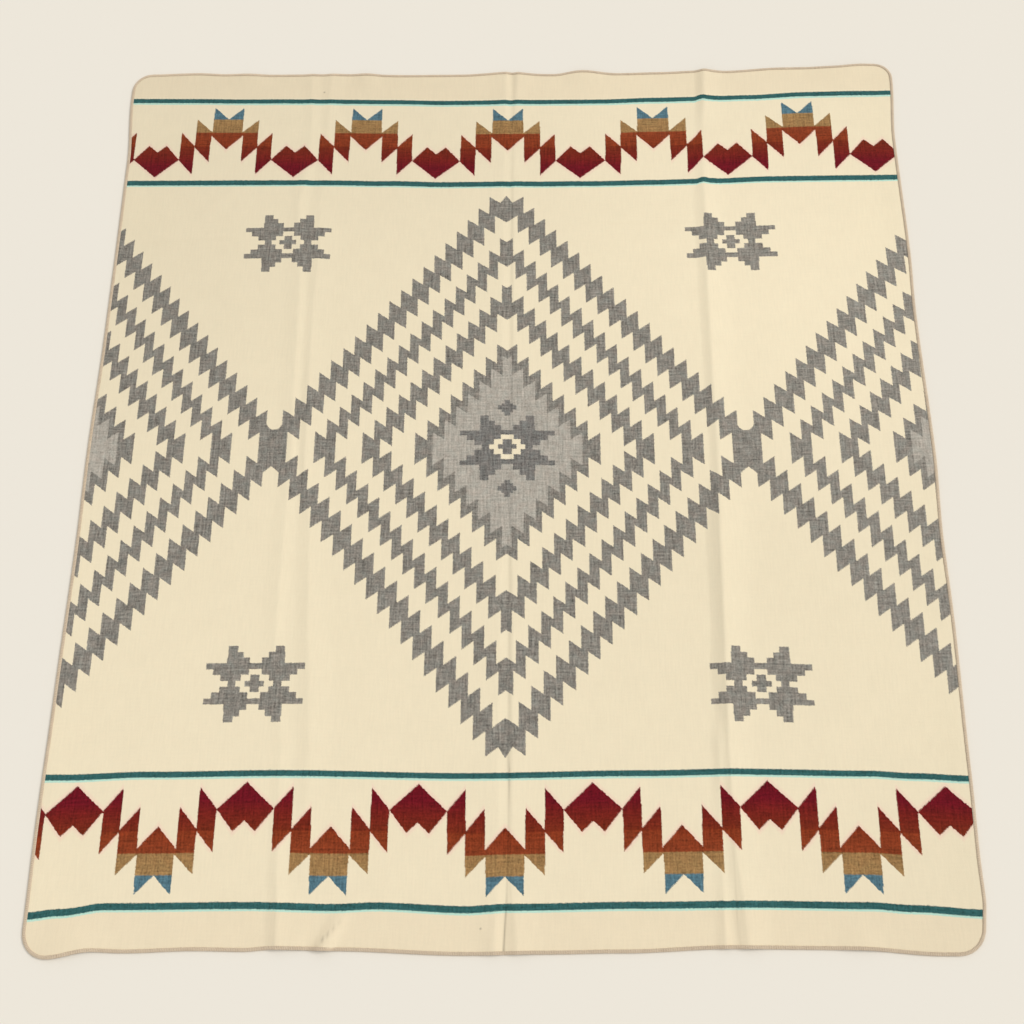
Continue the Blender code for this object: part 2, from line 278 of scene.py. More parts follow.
def spaced(start, end, widest, close_lines):
    """Places from start to end, close together near the close lines."""
    places = [start]
    while places[-1] < end:
        nearest = min((abs(places[-1] - line) for line in close_lines), default=widest)
        places.append(places[-1] + min(widest, CREASE_GAP + GAP_GROWTH * nearest))
    places = np.array(places)
    return start + (places - start) * (end - start) / (places[-1] - start)


def width_lines():
    """Where the mesh's lines along the blanket cross its middle."""
    inner = HALF_WIDTH - RIM_FLAT
    return np.concatenate(([-HALF_WIDTH], spaced(-inner, inner, WIDEST_GAP, CREASE_LINES + TUCK_LINES),
                           [HALF_WIDTH]))


def length_lines():
    """The mesh's lines across the blanket: y, and the angle reached round the corners, or none."""
    angles = np.linspace(0.0, pi / 2, CORNER_STEPS + 1)
    inner = HALF_LENGTH - max(CORNER_RADIUS) - CORNER_CLEAR
    between = spaced(-inner, inner, LONGEST_GAP, CROSS_LINES)
    near = [(-HALF_LENGTH, angle) for angle in angles[::-1]]
    far = [(HALF_LENGTH, angle) for angle in angles]
    return near + [(y, None) for y in between] + far


def plan_grid():
    """Places in plan of the mesh's points, by line along and line across."""
    lines = width_lines()
    rows = length_lines()
    crossing_x = np.zeros((len(lines), len(rows)))
    crossing_y = np.zeros_like(crossing_x)
    for number, (row_y, angle) in enumerate(rows):
        x = lines.copy()
        y = np.full_like(x, row_y)
        reach_left = HALF_WIDTH
        reach_right = HALF_WIDTH
        if angle is not None:
            far = row_y > 0
            left = CORNER_RADIUS.far_left if far else CORNER_RADIUS.near_left
            right = CORNER_RADIUS.far_right if far else CORNER_RADIUS.near_right
            inset = (left + (right - left) * (x / WIDTH + 0.5)) * (1.0 - sin(angle))
            y = y - inset if far else y + inset
            reach_left = HALF_WIDTH - left * (1.0 - cos(angle))
            reach_right = HALF_WIDTH - right * (1.0 - cos(angle))
        inner = HALF_WIDTH - SIDE_SQUEEZE
        reach = np.where(x < 0, reach_left, reach_right)
        squeezed = np.sign(x) * (inner + (np.abs(x) - inner) * (reach - inner) / SIDE_SQUEEZE)
        x = np.where(np.abs(x) > inner, squeezed, x)
        side_out = np.where(x < 0, read_run(LEFT_EDGE, y), read_run(RIGHT_EDGE, y))
        end_out = read_run(FAR_EDGE if row_y > 0 else NEAR_EDGE, x)
        side_fade = smooth((np.abs(x) - (HALF_WIDTH - WAVE_FADE)) / WAVE_FADE)
        end_fade = smooth((np.abs(y) - (HALF_LENGTH - WAVE_FADE)) / WAVE_FADE)
        crossing_x[:, number] = x + np.sign(x) * side_out * side_fade
        crossing_y[:, number] = y + np.sign(y) * end_out * end_fade
    return crossing_x, crossing_y


def rim_walk(across, along):
    """Grid places round the outline, anticlockwise seen from above, each once."""
    walk = [(column, 0) for column in range(across)]
    walk += [(across - 1, row) for row in range(1, along)]
    walk += [(column, along - 1) for column in range(across - 2, -1, -1)]
    walk += [(0, row) for row in range(along - 2, 0, -1)]
    return walk


def distance_to_rim(x, y, walk):
    """How far each point lies in from the outline, in plan, up to the reach of the rim's fade."""
    starts = np.array([(x[place], y[place]) for place in walk])
    spans = np.roll(starts, -1, axis=0) - starts
    lengths = (spans ** 2).sum(axis=1)
    points = np.stack((x.ravel(), y.ravel()), axis=1)
    nearest = np.full(len(points), RIM_FADE)
    low = starts.min(axis=0) + RIM_BAND
    high = starts.max(axis=0) - RIM_BAND
    outer = np.nonzero(((points < low) | (points > high)).any(axis=1))[0]
    for chunk in np.array_split(outer, RIM_PORTIONS):
        away = points[chunk, None, :] - starts[None]
        share = np.clip((away * spans).sum(axis=2) / lengths, 0.0, 1.0)
        gap = away - spans * share[..., None]
        nearest[chunk] = np.sqrt((gap ** 2).sum(axis=2)).min(axis=1)
    return nearest.reshape(x.shape)


cloth_x, cloth_y = plan_grid()
outline_walk = rim_walk(*cloth_x.shape)
in_from_rim = distance_to_rim(cloth_x, cloth_y, outline_walk)
rim_lift = EDGE_LIFT * smooth((RIM_FADE - in_from_rim) / (RIM_FADE - RIM_FLAT))
swell_share = smooth(in_from_rim / RIM_FADE)
underside = (
    rim_lift + crease_height(cloth_x, cloth_y) + ripple_height(cloth_x, cloth_y)
    + swell_height(cloth_x, cloth_y) * swell_share
)

# The weave's lie
# The loom's rows run a little out of true in the finished cloth. These are how far a place in the
# weave lies from the same place in plan: shift, tilt, bow and twist, each in metres at a metre, to
# the nearest half millimetre.
Lie = namedtuple("Lie", "power_x power_y amount")
WARP_LIE = (
    Lie(0, 0, -0.0010), Lie(1, 0, -0.0025), Lie(0, 1, 0.0035), Lie(2, 0, -0.0130), Lie(1, 1, 0.0010),
    Lie(0, 2, 0.0085), Lie(3, 0, 0.0090), Lie(2, 1, -0.0085), Lie(1, 2, 0.0110), Lie(0, 3, 0.0040),
)
WEFT_LIE = (
    Lie(0, 0, -0.0145), Lie(1, 0, 0.0040), Lie(0, 1, 0.0060), Lie(2, 0, -0.0035), Lie(1, 1, -0.0030),
    Lie(0, 2, 0.0125), Lie(3, 0, -0.0035), Lie(2, 1, -0.0210), Lie(1, 2, -0.0040),
)
BORDER_START = 0.55
BORDER_FADE = 0.25
STRIPE_FADE = 0.16
END_STRIPE = 0.9590
FIELD_STRIPE = 0.7105

# The four stripes: where each lies in plan, and how far it strays along the blanket across its run
Stray = namedtuple("Stray", "x along")
NEAR_END_STRIPE = (
    Stray(-0.95, -0.022), Stray(-0.88, -0.015), Stray(-0.79, -0.0035), Stray(-0.50, 0.000),
    Stray(-0.34, -0.003), Stray(-0.25, 0.0004), Stray(-0.075, -0.006), Stray(0.01, -0.001),
    Stray(0.28, 0.004), Stray(0.50, 0.007), Stray(0.72, 0.005), Stray(0.80, 0.000), Stray(0.95, -0.008),
)
NEAR_FIELD_STRIPE = (
    Stray(-0.91, -0.0095), Stray(-0.73, -0.003), Stray(-0.45, 0.001), Stray(-0.08, -0.004),
    Stray(0.29, 0.0025), Stray(0.47, 0.006), Stray(0.74, 0.0027), Stray(0.83, -0.002), Stray(0.95, -0.007),
)
FAR_FIELD_STRIPE = (
    Stray(-0.90, 0.004), Stray(-0.60, 0.003), Stray(-0.42, 0.0004), Stray(-0.30, -0.0022),
    Stray(-0.15, -0.0063), Stray(0.20, -0.0065),
    Stray(0.35, -0.0045), Stray(0.455, -0.0020), Stray(0.473, 0.0012), Stray(0.492, -0.0015),
    Stray(0.65, 0.004), Stray(0.87, 0.005),
)
FAR_END_STRIPE = (
    Stray(-0.90, 0.007), Stray(-0.60, 0.003), Stray(-0.42, 0.000), Stray(-0.30, -0.0028),
    Stray(-0.15, -0.0068), Stray(0.23, -0.0065),
    Stray(0.36, -0.003), Stray(0.460, -0.0010), Stray(0.478, 0.0025), Stray(0.498, 0.0000),
    Stray(0.60, 0.003), Stray(0.74, 0.0105), Stray(0.90, 0.012),
)
Stripe = namedtuple("Stripe", "plan_y weave_row strays")
STRIPES = (
    Stripe(-0.9582, -END_STRIPE, NEAR_END_STRIPE), Stripe(-0.7022, -FIELD_STRIPE, NEAR_FIELD_STRIPE),
    Stripe(0.7180, FIELD_STRIPE, FAR_FIELD_STRIPE), Stripe(0.9585, END_STRIPE, FAR_END_STRIPE),
)

# How far the two borders' figures stray across the blanket along their runs
Slip = namedtuple("Slip", "x across")
NEAR_BORDER = (
    Slip(-0.90, -0.0130), Slip(-0.45, -0.0055), Slip(0.00, -0.0015), Slip(0.45, -0.0015),
    Slip(0.60, 0.0000), Slip(0.75, 0.0010), Slip(0.90, -0.0040),
)
FAR_BORDER = (
    Slip(-0.95, -0.0180), Slip(-0.75, -0.0085), Slip(-0.55, -0.0030), Slip(-0.20, 0.0015),
    Slip(0.10, 0.0030), Slip(0.30, -0.0015), Slip(0.60, -0.0060), Slip(0.95, -0.0080),
)

# Places in the field where the rows are pulled along the blanket
Pull = namedtuple("Pull", "x y reach_x reach_y along")
PULLS = (
    Pull(-0.20, 0.46, 0.32, 0.26, 0.0060), Pull(-0.52, 0.56, 0.22, 0.20, -0.0055),
    Pull(-0.72, 0.38, 0.20, 0.15, -0.0020), Pull(0.92, 0.45, 0.25, 0.35, 0.0045),
    Pull(-0.45, 0.05, 0.25, 0.15, -0.0030), Pull(0.00, 0.00, 0.12, 0.10, -0.0035),
    Pull(-0.95, -0.30, 0.30, 0.35, 0.0045), Pull(-0.13, -0.56, 0.25, 0.22, 0.0065),
    Pull(0.52, -0.53, 0.25, 0.25, -0.0050),
)


def lie_at(table, x, y):
    return sum(lie.amount * x ** lie.power_x * y ** lie.power_y for lie in table)


def row_drift(x, y):
    """How far the field's rows lie out of true along the blanket."""
    drift = lie_at(WEFT_LIE, x, y)
    for pull in PULLS:
        away = np.hypot((x - pull.x) / pull.reach_x, (y - pull.y) / pull.reach_y)
        drift = drift + pull.along * smooth(1.0 - away)
    return drift


def weave_place(x, y):
    """Where a place in plan lies in the weave, across and along, so that every row runs true there."""
    border = smooth((np.abs(y) - BORDER_START) / BORDER_FADE)
    border_slip = np.where(y < 0, read_run(NEAR_BORDER, x), read_run(FAR_BORDER, x))
    across = x + lie_at(WARP_LIE, x, y) * (1.0 - border) + border_slip * border
    runs = [stripe.plan_y + read_run(stripe.strays, x) for stripe in STRIPES]
    drifts = [stripe.weave_row - run for stripe, run in zip(STRIPES, runs)]
    field = row_drift(x, y)
    near_gap = drifts[1] - row_drift(x, runs[1])
    far_gap = drifts[2] - row_drift(x, runs[2])
    field = field + near_gap * smooth(1.0 - (y - runs[1]) / STRIPE_FADE)
    field = field + far_gap * smooth(1.0 - (runs[2] - y) / STRIPE_FADE)
    near = drifts[1] + (drifts[0] - drifts[1]) * (runs[1] - y) / (runs[1] - runs[0])
    far = drifts[2] + (drifts[3] - drifts[2]) * (y - runs[2]) / (runs[3] - runs[2])
    along = y + np.where(y < runs[1], near, np.where(y > runs[2], far, field))
    return across, along


def woven_sheet(name, low, thickness, weave):
    """A closed sheet from its underside's points: both faces and the cut edge between them."""
    columns, rows = low.shape[:2]
    count = columns * rows
    number = np.arange(count).reshape(columns, rows)
    quads = np.stack((number[:-1, :-1], number[1:, :-1], number[1:, 1:], number[:-1, 1:]), axis=-1)
    quads = quads.reshape(-1, 4)
    rim = np.array([number[place] for place in rim_walk(columns, rows)])
    following = np.roll(rim, -1)
    edge = np.stack((rim, following, following + count, rim + count), axis=1)
    faces = np.concatenate((quads[:, ::-1], quads + count, edge))
    points = np.concatenate((low.reshape(-1, 3), low.reshape(-1, 3) + (0.0, 0.0, thickness)))
    mesh = bpy.data.meshes.new(name)
    mesh.from_pydata(points.tolist(), [], faces.tolist())
    layer = mesh.uv_layers.new(name="weave")
    places = np.concatenate((weave.reshape(-1, 2), weave.reshape(-1, 2)))[faces.ravel()]
    layer.data.foreach_set("uv", places.astype(np.float32).ravel())
    mesh.shade_smooth()
    mesh.set_sharp_from_angle(angle=1.0)
    return set_down(name, mesh)


middle = np.array([[values.min() + values.max()] for values in (cloth_x, cloth_y)]).ravel() / 2
low_points = np.stack((cloth_x - middle[0], cloth_y - middle[1], underside), axis=-1)
cloth = woven_sheet("blanket_cloth", low_points, CLOTH_THICK,
                    np.stack(weave_place(cloth_x, cloth_y), axis=-1))

# The cloth's pattern and finish
# Dyed alpaca yarn, woven in as the cloth is made: grey stepped diamonds and stars in the field,
# a coloured border at each end between teal stripes. The face is brushed to a soft matt nap.
REPEAT = 1.06545
COLUMN = 0.02628
STEP = 0.03216
TOOTH = 0.0180
STAR_COLUMN = 0.0152
STAR_ROW = 0.0122
STAR_DRIFT = 0.0020
STRIPE_HALF = 0.0063
FAR_STRIPE_MORE = 0.0004
PICK = 0.0013
YARN_WANDER = 0.0012
HAIR_BLUR = 0.0030
HEATHER_GRAIN = 0.0042
YARN_RELIEF = 0.0004


def dyed(red, green, blue):
    """A yarn's colour from its 0 to 255 mix, as the light that it gives back."""
    shares = [value / 255.0 for value in (red, green, blue)]
    linear = [share / 12.92 if share < 0.04045 else ((share + 0.055) / 1.055) ** 2.4 for share in shares]
    return (*linear, 1.0)


CREAM = dyed(240, 226, 195)
END_CREAM = dyed(237, 221, 190)
DARK_GREY = dyed(136, 131, 122)
STAR_GREY = dyed(122, 119, 114)
LIGHT_GREY = dyed(176, 169, 157)
TEAL = dyed(52, 96, 95)
PALE_TEAL = dyed(168, 226, 212)
PINK = dyed(243, 200, 184)

# Stepped bands of the diamond, from the outermost: the first column line past the middle, in
# columns, the height of the edge there, and its last column
Edge = namedtuple("Edge", "first_line height columns")
BAND_OUTER = (
    Edge(0.568, 0.7043, 19), Edge(0.607, 0.5528, 16), Edge(0.466, 0.4244, 12), Edge(0.894, 0.2636, 7),
)
BAND_INNER = (
    Edge(1.023, 0.6158, 18), Edge(0.795, 0.4881, 14), Edge(0.911, 0.3453, 10), Edge(0.4045, 0.2333, 6),
)
TIP_HEIGHT = 0.6756
TIP_FALL = 0.0215
WAIST_HEIGHT = 0.044
WAIST_RISE = 0.015

# Rows of the eight-pointed star from its middle: where its yarn starts, stops, and its core stops
StarRow = namedtuple("StarRow", "outer inner core")
STAR_ROWS = (
    StarRow(3.80, 2.65, 1.37), StarRow(4.90, 2.00, 0.65), StarRow(6.00, 0.90, 0.00),
    StarRow(7.00, 0.00, 0.00), StarRow(4.10, 0.85, 0.00), StarRow(4.05, 1.80, 0.00),
    StarRow(4.00, 2.70, 0.00), StarRow(0.00, 0.00, 0.00),
)

# The small lozenges: how far from the middle, and how much wider each is within a reach of its own
LOZENGE_AWAY = 0.0985
LOZENGE_DRIFT = 0.0025
LOZENGE_STEPS = ((0.0195, 0.0065), (0.0110, 0.0060), (0.0050, 0.0080))

# The border's figure from the middle of a crown to the middle of the next heart
FigureLine = namedtuple("FigureLine", "across upper lower")
BORDER_FIGURE = (
    FigureLine(0.0000, 0.9030, 0.8105), FigureLine(0.0380, 0.9390, 0.8500),
    FigureLine(0.0384, 0.8640, 0.8504), FigureLine(0.0406, 0.8655, 0.8530),
    FigureLine(0.0410, 0.8655, 0.7730), FigureLine(0.0800, 0.9020, 0.8165),
    FigureLine(0.0805, 0.8205, 0.7355), FigureLine(0.1175, 0.8610, 0.7770),
    FigureLine(0.1180, 0.7790, 0.7790), FigureLine(0.1545, 0.8220, 0.7475),
    FigureLine(0.1776, 0.8015, 0.7270),
)
FIGURE_BASE = 0.70
FIGURE_RANGE = 0.25
Dye = namedtuple("Dye", "from_row colour")
BORDER_DYES = (
    Dye(0.7000, dyed(106, 16, 30)), Dye(0.7600, dyed(108, 18, 30)), Dye(0.7850, dyed(116, 32, 26)),
    Dye(0.8195, dyed(118, 44, 24)), Dye(0.8205, dyed(132, 54, 28)), Dye(0.8610, dyed(136, 62, 34)),
    Dye(0.8620, dyed(154, 118, 75)), Dye(0.9020, dyed(158, 124, 80)), Dye(0.9030, dyed(84, 116, 128)),
)

# Where dye has run into the cream, where the cream turns duller and where grey turns lighter towards the
# right
RED_START = 0.718
RED_END = 0.861
BLEED_REACH = 0.012
BLEED_SHARE = 0.55
PALE_SHIFT = 0.0040
PALE_SHARE = 0.75
HEM_START = 0.97
HEM_SHARE = 0.90
GREY_LIGHTER_FROM = 0.30
GREY_LIGHTER_SHARE = 0.15
TINT_SWING = (0.085, -0.030, -0.060)

# Small dark slubs in the yarn, at places in plan
Slub = namedtuple("Slub", "x y radius dark")
SLUBS = (
    Slub(-0.4669, 0.9874, 0.0036, 0.50), Slub(-0.0454, -0.9997, 0.0032, 0.45),
    Slub(-0.9416, -0.0211, 0.0046, 0.50),
)

# Painted light and shade: painted shade darkens the sharp folds and a tuck in the near hem, and broad
# patches of painted light and shade make places brighter or darker
FoldShade = namedtuple("FoldShade", "x y dark")
# Painted shade along the sharp folds and at a tuck in the near hem: where it runs and how dark
PAINTED_FOLD_SHADE = (
    (FoldShade(0.0000, -1.045, 0.60), FoldShade(0.0020, -1.000, 0.45), FoldShade(0.0040, -0.972, 0.40),
     FoldShade(0.0055, -0.930, 0.15), FoldShade(0.0090, -0.780, 0.08), FoldShade(0.0090, -0.700, 0.35),
     FoldShade(0.0065, -0.660, 0.15), FoldShade(0.0080, -0.580, 0.06), FoldShade(0.0080, -0.260, 0.05),
     FoldShade(0.0105, 0.200, 0.03), FoldShade(0.0100, 0.750, 0.03), FoldShade(0.0130, 1.045, 0.04)),
    (FoldShade(0.4600, -1.045, 0.08), FoldShade(0.4560, -0.960, 0.10), FoldShade(0.4550, -0.690, 0.04),
     FoldShade(0.4600, -0.200, 0.02)),
    (FoldShade(-0.3175, -0.985, 0.08), FoldShade(-0.3550, -1.0225, 0.30)),
)
FOLD_SHADE_HALF_WIDTH = 0.0030
Patch = namedtuple("Patch", "x y reach share")
# Broad patches of painted light and shade: brighter right of the middle, darker at the far left and the
# near right
PAINTED_LIGHT_PATCHES = (
    Patch(-0.95, 0.95, 1.20, -0.100), Patch(-0.95, 0.20, 0.70, -0.025),
    Patch(0.70, 0.40, 0.75, 0.065), Patch(0.95, -0.95, 0.45, -0.040),
    Patch(-0.10, 0.86, 0.50, -0.030),
)


def painted_tone(x, y):
    """How much the painted light and shade brighten or darken places in plan, where 1 is even."""
    # Painted light and shade in broad patches
    tone = np.ones_like(x)
    for patch in PAINTED_LIGHT_PATCHES:
        tone += patch.share * smooth(1.0 - np.hypot(x - patch.x, y - patch.y) / patch.reach)
    # Painted shade: darker lines along the folds and the hem tuck, where shade falls
    fold_shade = np.zeros_like(x)
    for fold in PAINTED_FOLD_SHADE:
        for start, end in zip(fold, fold[1:]):
            run_x = end.x - start.x
            run_y = end.y - start.y
            along = ((x - start.x) * run_x + (y - start.y) * run_y) / (run_x ** 2 + run_y ** 2)
            along = np.clip(along, 0.0, 1.0)
            away = np.hypot(x - start.x - along * run_x, y - start.y - along * run_y)
            dark = start.dark + (end.dark - start.dark) * along
            fold_shade = np.maximum(fold_shade, dark * np.clip(1.0 - away / FOLD_SHADE_HALF_WIDTH, 0.0, 1.0))
    return tone * (1.0 - fold_shade)


def lay_painted_tone(sheet, tone):
    """Keep the painted light and shade on the sheet's points, the same on both faces."""
    layer = sheet.data.attributes.new("painted_light_and_shade", "FLOAT", "POINT")
    layer.data.foreach_set("value", np.concatenate((tone.ravel(), tone.ravel())).astype(np.float32))


class Measure:
    """A length or a share worked out in a material, so that sums on it read as sums."""

    def __init__(self, tree, source):
        self.tree = tree
        self.source = source

    def reckon(self, operation, *others):
        node = self.tree.nodes.new("ShaderNodeMath")
        node.operation = operation
        for socket, value in zip(node.inputs, (self, *others)):
            if isinstance(value, Measure):
                self.tree.links.new(value.source, socket)
            else:
                socket.default_value = value
        return Measure(self.tree, node.outputs[0])

    def __add__(self, other):
        return self.reckon("ADD", other)

    def __sub__(self, other):
        return self.reckon("SUBTRACT", other)

    def __mul__(self, other):
        return self.reckon("MULTIPLY", other)

    def __truediv__(self, other):
        return self.reckon("DIVIDE", other)

    def __lt__(self, other):
        return self.reckon("LESS_THAN", other)

    def __gt__(self, other):
        return self.reckon("GREATER_THAN", other)

    def __abs__(self):
        return self.reckon("ABSOLUTE")

    def folded(self, half_repeat):
        """Distance to the nearest of places that lie two half repeats apart."""
        return self.reckon("PINGPONG", half_repeat)

    def nearest(self, spacing):
        """The number of the nearest of places that lie a spacing apart."""
        return (self / spacing).reckon("ROUND")

    def either(self, other):
        return self.reckon("MAXIMUM", other)

    def lesser(self, other):
        return self.reckon("MINIMUM", other)

    def rest(self):
        """What this share leaves of 1."""
        return self * -1.0 + 1.0

    def unless(self, other):
        """This share, less another."""
        return (self - other).either(0.0)


def stepped_edge_group():
    """The height of a serrated edge at a distance across from the diamond's middle."""
    group = bpy.data.node_groups.new("stepped_edge", "ShaderNodeTree")
    for name in ("Across", "First line", "Height", "Columns"):
        group.interface.new_socket(name, in_out="INPUT", socket_type="NodeSocketFloat")
    group.interface.new_socket("Edge", in_out="OUTPUT", socket_type="NodeSocketFloat")
    entry = group.nodes.new("NodeGroupInput")
    across, first_line, height, columns = (Measure(group, socket) for socket in entry.outputs[:4])
    place = across / COLUMN - first_line
    line = place.reckon("CEIL").either(0.0)
    edge = height - line * STEP - (line - place) * TOOTH
    kept = line < columns + 0.5
    result = (edge + 1.0) * kept - 1.0
    group.links.new(result.source, group.nodes.new("NodeGroupOutput").inputs[0])
    return group


def stepped_edge(tree, group, across, edge):
    node = tree.nodes.new("ShaderNodeGroup")
    node.node_tree = group
    tree.links.new(across.source, node.inputs["Across"])
    for socket, value in zip(node.inputs[1:], edge):
        socket.default_value = value
    return Measure(tree, node.outputs[0])


def chart(tree, place, stops, interpolation="LINEAR"):
    """Colours or widths read from a short chart, from 0 to 1 along it."""
    node = tree.nodes.new("ShaderNodeValToRGB")
    ramp = node.color_ramp
    ramp.interpolation = interpolation
    while len(ramp.elements) < len(stops):
        ramp.elements.new(0.5)
    for element, (position, colour) in zip(ramp.elements, stops):
        element.position = position
        element.color = (*colour[:3], 1.0)
    tree.links.new(place.source, node.inputs["Fac"])
    return node.outputs["Color"]


def parts_of(tree, colour):
    """A colour or a place taken apart into its three measures."""
    node = tree.nodes.new("ShaderNodeSeparateXYZ")
    tree.links.new(colour, node.inputs[0])
    return [Measure(tree, socket) for socket in node.outputs]


def mottle(tree, place, scale, detail=2.0, roughness=0.5, stretch=(1.0, 1.0)):
    """Even mottling about nought, from -1 to 1, on a place in the weave."""
    mapping = tree.nodes.new("ShaderNodeMapping")
    mapping.inputs["Scale"].default_value = (stretch[0], stretch[1], 1.0)
    tree.links.new(place, mapping.inputs["Vector"])
    noise = tree.nodes.new("ShaderNodeTexNoise")
    noise.inputs["Scale"].default_value = 1.0 / scale
    noise.inputs["Detail"].default_value = detail
    noise.inputs["Roughness"].default_value = roughness
    tree.links.new(mapping.outputs[0], noise.inputs["Vector"])
    return Measure(tree, noise.outputs["Fac"]) * 2.0 - 1.0


def mixed(tree, share, below, above):
    """One colour over another by a share."""
    node = tree.nodes.new("ShaderNodeMix")
    node.data_type = "RGBA"
    colours = [socket for socket in node.inputs if socket.type == "RGBA"]
    tree.links.new(share.source, node.inputs[0])
    for socket, colour in zip(colours, (below, above)):
        if isinstance(colour, tuple):
            socket.default_value = colour
        else:
            tree.links.new(colour, socket)
    return next(socket for socket in node.outputs if socket.type == "RGBA")


def new_finish(name):
    """A new material, the tree of its nodes and its shader."""
    made = bpy.data.materials.new(name)
    made.use_nodes = True
    return made, made.node_tree, made.node_tree.nodes["Principled BSDF"]


def soft_yarn(tree, shader, relief, rough, shine, sheen):
    """The surface of matt, hairy yarn, raised by its relief."""
    bump = tree.nodes.new("ShaderNodeBump")
    bump.inputs["Strength"].default_value = 0.60
    bump.inputs["Distance"].default_value = YARN_RELIEF
    tree.links.new(relief.source, bump.inputs["Height"])
    tree.links.new(bump.outputs[0], shader.inputs["Normal"])
    tree.links.new(rough.source, shader.inputs["Roughness"])
    shader.inputs["Specular IOR Level"].default_value = shine
    shader.inputs["Sheen Weight"].default_value = sheen


def alpaca_weave():
    made, tree, shader = new_finish("alpaca_weave")
    weave = tree.nodes.new("ShaderNodeUVMap")
    weave.uv_map = "weave"
    place = weave.outputs["UV"]
    raw_across, raw_along, _ = parts_of(tree, place)

    # Each yarn wanders a little before it is counted off in picks, and its hairs blur the change
    wander = mottle(tree, place, 0.005, detail=1.0) * YARN_WANDER
    hairs = mottle(tree, place, 0.0011, detail=1.0) * HAIR_BLUR
    across = ((raw_across + wander + hairs) / PICK).reckon("FLOOR") * PICK + PICK / 2
    along = ((raw_along + wander - hairs) / PICK).reckon("FLOOR") * PICK + PICK / 2
    out = abs(along)

    # The diamonds' bands
    group = stepped_edge_group()
    away = across.folded(REPEAT / 2)
    outer = [stepped_edge(tree, group, away, edge) for edge in BAND_OUTER]
    inner = [stepped_edge(tree, group, away, edge) for edge in BAND_INNER]
    tip_reach = BAND_OUTER[0].first_line * COLUMN
    at_tip = away < tip_reach
    tip = away * (-TIP_FALL / tip_reach) + TIP_HEIGHT
    waist_reach = REPEAT / 2 - (BAND_OUTER[0].columns + BAND_OUTER[0].first_line) * COLUMN
    from_waist = (away - REPEAT / 2) * -1.0
    at_waist = from_waist < waist_reach
    rise = from_waist / waist_reach
    far_rise = rise * rise * rise
    rise = far_rise + (rise - far_rise) * (along < 0.0)
    waist = rise * WAIST_RISE + WAIST_HEIGHT
    outer[0] = outer[0] * at_tip.rest() + tip * at_tip
    outer[0] = outer[0] * at_waist.rest() + waist * at_waist
    grey = reduce(Measure.either, [(out < above) * (out > below) for above, below in zip(outer, inner)])
    centre = out < inner[-1]

    # The stars, one in the middle of the diamond and one in each corner between diamonds
    star_across = across.folded(REPEAT / 4) / STAR_COLUMN
    row = (along - STAR_DRIFT).folded(REPEAT / 4).nearest(STAR_ROW)
    count = float(len(STAR_ROWS))
    star_stops = [
        (number / count, [width / count for width in star]) for number, star in enumerate(STAR_ROWS)
    ]
    widths = chart(tree, (row + 0.5).lesser(count - 0.5) / count, star_stops, "CONSTANT")
    star_outer, star_inner, star_core = (width * count for width in parts_of(tree, widths))
    column_number = abs(across.nearest(REPEAT / 2))
    row_number = abs(along.nearest(REPEAT / 2))
    placed = (column_number + row_number).reckon("MODULO", 2.0) < 0.5
    placed = placed * (column_number < 1.5) * (row_number < 1.5) * (row < 6.5)
    star = ((star_across < star_outer) * (star_across > star_inner)).either(star_across < star_core)
    star = star * placed
    ring = (star_across < star_inner) * (star_across > star_core) * (row < 2.5)
    ring = ring * placed * (column_number < 0.5)

    # The two small lozenges over and under the middle star
    lozenge_row = abs(abs(along - LOZENGE_DRIFT) - LOZENGE_AWAY)
    lozenge_widths = [(lozenge_row < reach) * wider for reach, wider in LOZENGE_STEPS]
    lozenge = abs(across) < reduce(Measure.__add__, lozenge_widths)
    grey = grey.either(star).either(lozenge)

    # The border figures between the stripes
    half_figure = REPEAT / 6
    figure_stops = [
        (line.across / half_figure,
         ((line.upper - FIGURE_BASE) / FIGURE_RANGE, (line.lower - FIGURE_BASE) / FIGURE_RANGE, 0.0))
        for line in BORDER_FIGURE
    ]
    heights = chart(tree, across.folded(half_figure) / half_figure, figure_stops)
    upper, lower, _ = (height * FIGURE_RANGE + FIGURE_BASE for height in parts_of(tree, heights))
    figure = (out < upper) * (out > lower)
    dye_stops = [((dye.from_row - FIGURE_BASE) / FIGURE_RANGE, dye.colour) for dye in BORDER_DYES]
    dyes = chart(tree, (out - FIGURE_BASE) / FIGURE_RANGE, dye_stops)
    bleed = ((out - upper).either(lower - out) / BLEED_REACH).rest().either(0.0)
    bleed = bleed * (out < RED_END) * (out > RED_START) * BLEED_SHARE

    # The stripes, and the pale line that the dye leaves on their near side
    stripe_half = (along > 0.0) * FAR_STRIPE_MORE + STRIPE_HALF
    stripe, pale = (
        abs(row_out - END_STRIPE).lesser(abs(row_out - FIELD_STRIPE)) < stripe_half
        for row_out in (out, abs(along + PALE_SHIFT))
    )

    # Yarn by yarn unevenness: along the warp, along the weft and in soft clouds
    warp_streak = mottle(tree, place, HEATHER_GRAIN, stretch=(1.0, 0.10))
    weft_streak = mottle(tree, place, HEATHER_GRAIN, stretch=(0.10, 1.0))
    fleck = mottle(tree, place, HEATHER_GRAIN, detail=3.0, roughness=0.65)
    cloud = mottle(tree, place, 0.055, detail=3.0)
    tint = mottle(tree, place, 0.016, detail=3.0)
    heather = warp_streak * 0.45 + weft_streak * 0.40 + fleck * 0.60
    spots = []
    for flaw in SLUBS:
        seat = weave_place(np.array([flaw.x]), np.array([flaw.y]))
        off_across = raw_across - float(seat[0][0])
        off_along = raw_along - float(seat[1][0])
        away_from_it = (off_across * off_across + off_along * off_along).reckon("SQRT")
        spots.append((away_from_it / flaw.radius).rest().either(0.0) * flaw.dark)
    slub = reduce(Measure.either, spots)
